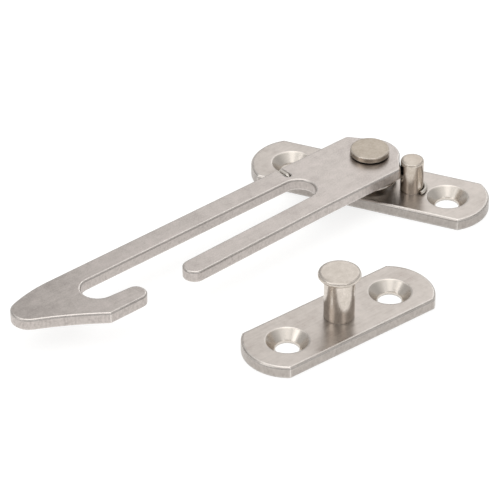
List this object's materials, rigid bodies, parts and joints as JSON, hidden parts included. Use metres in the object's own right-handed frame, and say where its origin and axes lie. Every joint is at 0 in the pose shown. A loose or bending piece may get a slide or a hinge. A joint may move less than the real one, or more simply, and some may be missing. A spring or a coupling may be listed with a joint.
{
  "type": "window restrictor",
  "caption": "Side-hung window restrictor: plate with a spring-loaded slotted hook arm on a headed pivot, and a separate keep plate with a mushroom-headed stud that the arm catches.",
  "frame": {"origin": "on the arm's pivot axis, at the frame plate's back face, which is also midway between that plate's two screw holes", "axes": "+Z out of the plates, along the pivot axis; the arm at rest points to -X; +Y to the arm's spring-slit edge, away from the keep plate"},
  "size_m": [0.1287, 0.0771, 0.0156],
  "materials": {
    "plate_steel": "satin",
    "arm_steel": "satin",
    "pin_steel": "satin",
    "spring_steel": "satin"
  },
  "bodies": {
    "fixed_halves": {"frame_plate": "plate_steel", "pivot_rivet": "pin_steel", "stop_pin": "pin_steel", "torsion_spring": "spring_steel", "keep_plate": "plate_steel", "keep_stud": "pin_steel"},
    "arm": {"hook_arm": "arm_steel"}
  },
  "joints": [
    {"name": "arm_pivot", "type": "hinge", "parent": "fixed_halves", "child": "arm", "pos_m": [0, 0, 0.009], "axis": [0, 0, 1], "range_deg": [-127, 0], "stiffness_Nm_per_rad": 0.02, "springref_deg": 68.75, "deforming": ["torsion_spring"]}
  ]
}
